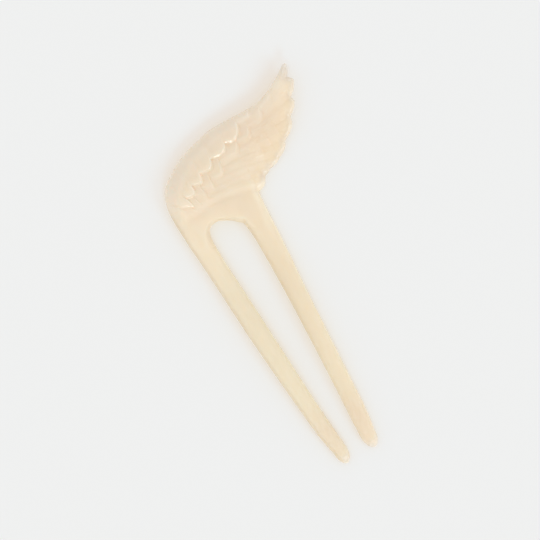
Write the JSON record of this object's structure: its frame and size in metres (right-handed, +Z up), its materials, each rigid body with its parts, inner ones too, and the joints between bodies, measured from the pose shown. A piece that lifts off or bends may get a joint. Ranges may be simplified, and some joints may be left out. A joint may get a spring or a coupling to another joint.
{
  "type": "hair fork",
  "caption": "Flat hair fork with tapering round-ended prongs and a head carved as a spread wing with notched feather ends and two rows of overlapping coverts.",
  "frame": {"origin": "middle of the footprint, on the surface that the fork's back lies on", "axes": "+Y along the fork from the prong ends to the head, +X across it towards the wing tip, +Z up out of the carved face"},
  "size_m": [0.06, 0.128, 0.008],
  "materials": {
    "polished_horn": "pale cream horn, carved and polished, faintly translucent and cloudy"
  },
  "bodies": {
    "root": {"carved_fork": "polished_horn"}
  },
  "joints": []
}
